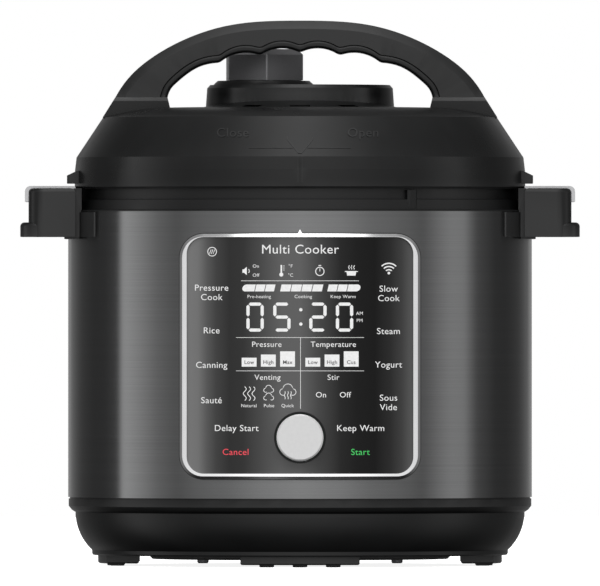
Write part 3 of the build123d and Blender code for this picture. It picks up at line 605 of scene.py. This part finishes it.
def signal(art, x, z):
    """Three arcs over a dot."""
    for radius in (2.4, 4.3, 6.2):
        art.arc(x, z, radius, 46, 134, 0.75, steps=12)
    art.dot(x, z + 0.4, 0.8)


def speaker(art, x, z):
    """Loudspeaker from the side, with one sound wave."""
    back, neck, rim, mouth = x - 2.6, x - 1.6, 1.0, 2.5
    art.polygon([(back, z - rim), (neck, z - rim), (x, z - mouth), (x, z + mouth), (neck, z + rim),
                 (back, z + rim)])
    art.arc(x, z, 1.5, -45, 45, 0.4, steps=8)


def thermometer(art, x, z):
    """Stem, bulb and three marks beside the stem."""
    art.stroke([(x, z + 5.7), (x, z + 0.3)], 0.9)
    art.dot(x, z, 1.2)
    for height in (5.1, 3.9, 2.7):
        art.stroke([(x + 0.9, z + height), (x + 2.0, z + height)], 0.3)


def timer(art, x, z):
    """Stopwatch with one hand and a crown."""
    art.arc(x, z, 2.5, 0, 360, 0.5)
    art.stroke([(x, z), (x, z + 1.8)], 0.4)
    art.stroke([(x - 0.8, z + 3.5), (x + 0.8, z + 3.5)], 0.5)


def steaming_pot(art, x, z):
    """Pot with a rim, and steam above it."""
    art.polygon([(x - 2.9, z + 0.3), (x + 2.9, z + 0.3), (x + 2.5, z - 2.4), (x - 2.5, z - 2.4)])
    art.stroke([(x - 3.9, z), (x + 3.9, z)], 0.5)
    for shift in (-1.5, 0.0, 1.5):
        art.stroke(wave(x + shift, z + 2.5, 2.4, 0.3), 0.35)


def venting_icons(art):
    """Steam that rises by itself, in puffs and all at once."""
    for x in (-32.8, -30.2, -27.6):
        art.stroke(wave(x, 103.6, 8.2, 0.9), 0.42)
    cloud(art, -18.6, 106.0, 0.8)
    cloud(art, -18.6, 101.4, 0.8)
    cloud(art, -7.2, 105.2, 1.3)
    for x in (-9.0, -7.2, -5.4):
        art.stroke(wave(x, 102.6, 4.6, 0.25), 0.38)


def icons(art):
    """The panel's small line drawings."""
    badge(art, -52.2, 187.9)
    signal(art, 52.8, 174.8)
    speaker(art, -31.6, 176.4)
    thermometer(art, -11.1, 174.3)
    timer(art, 11.8, 176.2)
    steaming_pot(art, 30.5, 176.1)
    venting_icons(art)


def panel_legends():
    """All the printing on the panel, in inks with a painted glow: white, dark on the level bars, red and
    green.
    """
    white, dark, red, green = Artwork(), Artwork(), Artwork(), Artwork()
    function_names(white)
    headings(white)
    progress_bar(white)
    level_bars(white, dark)
    clock(white)
    icons(white)
    white.text("Multi Cooker", 0.0, 189.2, TITLE)
    red.text("Cancel", -38.2, 68.8, CAP)
    green.text("Start", 35.8, 68.8, CAP)
    for name, art, colour, depth in (("white", white, (0.6, 0.6, 0.6), PRINT_DEPTH),
                                     ("red", red, (0.62, 0.04, 0.06), PRINT_DEPTH),
                                     ("green", green, (0.03, 0.42, 0.08), PRINT_DEPTH),
                                     ("dark", dark, (0.02, 0.02, 0.02), DARK_PRINT_DEPTH)):
        glowing_ink = printed_ink_painted_glow("glowing_ink_" + name, colour)
        art.piece("legends_" + name, on_lens, glowing_ink, "cooker_base", "smoked_panel", depth)


def lid_marks(material):
    """Raised words, arrow and lines moulded on the front of the lid."""
    art = Artwork()
    words_height, line_height = 258.6, 249.6
    art.text("Close", -40.0, words_height, TITLE)
    art.text("Open", 37.5, words_height, TITLE)
    right = [(0.9, 246.4), (7.6, 254.6), (7.4, 256.3)]
    left = [(-x, z) for x, z in reversed(right)]
    art.stroke(left + right, 0.35)
    for side in (-1, 1):
        art.stroke([(side * (4.4 + 2.6 * i), line_height) for i in range(11)], 0.3)
    art.piece("lid_front_marks", on_cone, material, "lid", "lid_plastic", MARK_DEPTH)


# ---- Light, floor and camera ----

def gradient(tree, factor, stops):
    """Grey that changes with the direction round the object. The stops are (degrees, brightness)."""
    ramp = tree.nodes.new("ShaderNodeValToRGB")
    ramp.color_ramp.interpolation = "LINEAR"
    points = ramp.color_ramp.elements
    while len(points) < len(stops):
        points.new(0.5)
    for point, (degrees, level) in zip(points, sorted(stops)):
        point.position = (degrees + 180.0) / 360.0
        point.color = (level, level, level, 1.0)
    tree.links.new(factor, ramp.inputs["Fac"])
    return ramp.outputs["Color"]


def smooth_rise(tree, value, low, high, start=0.0):
    """Rises smoothly from the start level to 1 as the value goes from low to high."""
    rise = tree.nodes.new("ShaderNodeMapRange")
    rise.interpolation_type = "SMOOTHSTEP"
    rise.inputs["From Min"].default_value = low
    rise.inputs["From Max"].default_value = high
    rise.inputs["To Min"].default_value = start
    tree.links.new(value, rise.inputs["Value"])
    return rise.outputs["Result"]


def mixed(tree, blend, factor, first, second):
    """Two colours mixed. Each input is another node's output or a constant."""
    mix = tree.nodes.new("ShaderNodeMix")
    mix.data_type = "RGBA"
    mix.blend_type = blend
    for name, value in (("Factor", factor), ("A", first), ("B", second)):
        if isinstance(value, (float, tuple)):
            mix.inputs[name].default_value = value
        else:
            tree.links.new(value, mix.inputs[name])
    return mix.outputs["Result"]


def arithmetic(tree, operation, *values):
    """One sum on outputs of other nodes or constants."""
    made = tree.nodes.new("ShaderNodeMath")
    made.operation = operation
    for socket, value in zip(made.inputs, values):
        if isinstance(value, float):
            socket.default_value = value
        else:
            tree.links.new(value, socket)
    return made.outputs[0]


# Brightness of the studio by direction: degrees round from the front, right positive.
# The ring is level with the object, and the upper band is above it.
RING = [(-180, 0.3), (-166, 0.36), (-158, 0.28), (-140, 0.16), (-125, 0.14), (-114, 0.17), (-103, 0.3),
        (-99.5, 2.1), (-94, 1.8), (-82, 1.2), (-76, 0.88), (-64, 0.57), (-53, 0.8), (-35, 1.0),
        (-20, 1.4), (0, 1.65), (20, 1.4), (35, 1.0), (53, 0.8), (64, 0.57), (76, 1.2), (81, 1.4),
        (90, 1.35), (94, 0.85), (99, 0.4), (114, 0.17), (125, 0.14), (140, 0.16), (158, 0.28),
        (166, 0.36), (180, 0.3)]
UPPER = [(-180, 0.16), (-140, 0.07), (-116, 0.3), (-90, 0.6), (-65, 0.7), (-37, 1.9), (-18, 3.0),
         (0, 3.6), (18, 3.0), (37, 1.9), (65, 0.7), (90, 0.6), (116, 0.3), (140, 0.07), (180, 0.16)]

# Height of a direction, from -1 straight down to 1 straight up, where each change starts and ends.
UPPER_RISE = (0.25, 0.6)
ROOF_RISE = (0.95, 0.995)
GROUND_RISE = (-0.8, -0.2)
ROOF_LIGHT = (4.0, 4.0, 4.0, 1.0)
GROUND_DIM = 0.1


def studio_light():
    """Soft studio: a surround whose brightness changes with direction, white behind the object."""
    world = bpy.data.worlds.new("studio")
    bpy.context.scene.world = world
    world.use_nodes = True
    tree = world.node_tree
    tree.nodes.clear()

    coords = tree.nodes.new("ShaderNodeTexCoord")
    split = tree.nodes.new("ShaderNodeSeparateXYZ")
    tree.links.new(coords.outputs["Generated"], split.inputs[0])
    x, y, z = split.outputs
    front = arithmetic(tree, "MULTIPLY", y, -1.0)
    angle = arithmetic(tree, "ARCTAN2", x, front)
    share = arithmetic(tree, "ADD", arithmetic(tree, "DIVIDE", angle, math.tau), 0.5)

    ring = gradient(tree, share, RING)
    upper = gradient(tree, share, UPPER)
    above = mixed(tree, "MIX", smooth_rise(tree, z, *UPPER_RISE), ring, upper)
    roof = mixed(tree, "MIX", smooth_rise(tree, z, *ROOF_RISE), above, ROOF_LIGHT)
    ground = smooth_rise(tree, z, *GROUND_RISE, start=GROUND_DIM)
    dimmed = mixed(tree, "MULTIPLY", 1.0, roof, ground)

    lit = tree.nodes.new("ShaderNodeBackground")
    tree.links.new(dimmed, lit.inputs["Color"])
    plain = tree.nodes.new("ShaderNodeBackground")
    plain.inputs["Color"].default_value = (1, 1, 1, 1)
    path = tree.nodes.new("ShaderNodeLightPath")
    choose = tree.nodes.new("ShaderNodeMixShader")
    tree.links.new(path.outputs["Is Camera Ray"], choose.inputs["Fac"])
    tree.links.new(lit.outputs[0], choose.inputs[1])
    tree.links.new(plain.outputs[0], choose.inputs[2])
    out = tree.nodes.new("ShaderNodeOutputWorld")
    tree.links.new(choose.outputs[0], out.inputs["Surface"])


FLOOR_RADIUS = 3.0
FLOOR_GREY = (0.9, 0.9, 0.9, 1)
FLOOR_GLOW = 0.86


def pale_floor():
    """Pale round floor that shows a faint contact shadow and adds nothing to reflections."""
    shape = bmesh.new()
    bmesh.ops.create_circle(shape, cap_ends=True, segments=96, radius=FLOOR_RADIUS)
    mesh = bpy.data.meshes.new("floor")
    shape.to_mesh(mesh)
    shape.free()
    floor = bpy.data.objects.new("floor", mesh)
    bpy.context.scene.collection.objects.link(floor)
    material = bpy.data.materials.new("floor_paper")
    material.use_nodes = True
    tree = material.node_tree
    tree.nodes.clear()
    paper = tree.nodes.new("ShaderNodeBsdfDiffuse")
    paper.inputs["Color"].default_value = FLOOR_GREY
    glow = tree.nodes.new("ShaderNodeEmission")
    glow.inputs["Strength"].default_value = FLOOR_GLOW
    both = tree.nodes.new("ShaderNodeAddShader")
    out = tree.nodes.new("ShaderNodeOutputMaterial")
    tree.links.new(paper.outputs[0], both.inputs[0])
    tree.links.new(glow.outputs[0], both.inputs[1])
    tree.links.new(both.outputs[0], out.inputs["Surface"])
    mesh.materials.append(material)
    floor.visible_glossy = False
    floor.visible_diffuse = False
    floor.visible_transmission = False


# Width of the view at the object, the camera's distance and height, and the sensor's width in millimetres.
FRAME_WIDTH = 360.0 * MM
CAMERA_DISTANCE = 14.0
CAMERA_HEIGHT = HANDLE_TOP / 2
SENSOR_WIDTH = 36.0


def front_camera():
    """Long lens level with the middle of the object, straight in front."""
    camera = bpy.data.cameras.new("front")
    camera.sensor_width = SENSOR_WIDTH
    camera.lens = SENSOR_WIDTH * CAMERA_DISTANCE / FRAME_WIDTH
    camera.clip_end = 60.0
    thing = bpy.data.objects.new("front", camera)
    thing.location = (0.0, -CAMERA_DISTANCE, CAMERA_HEIGHT)
    thing.rotation_euler = (math.radians(90), 0, 0)
    bpy.context.scene.collection.objects.link(thing)
    bpy.context.scene.camera = thing
    bpy.context.scene.view_settings.view_transform = "Standard"


def main():
    materials = make_materials()
    dress(materials)
    panel_legends()
    lid_marks(materials["lid_plastic"])
    studio_light()
    pale_floor()
    front_camera()


main()
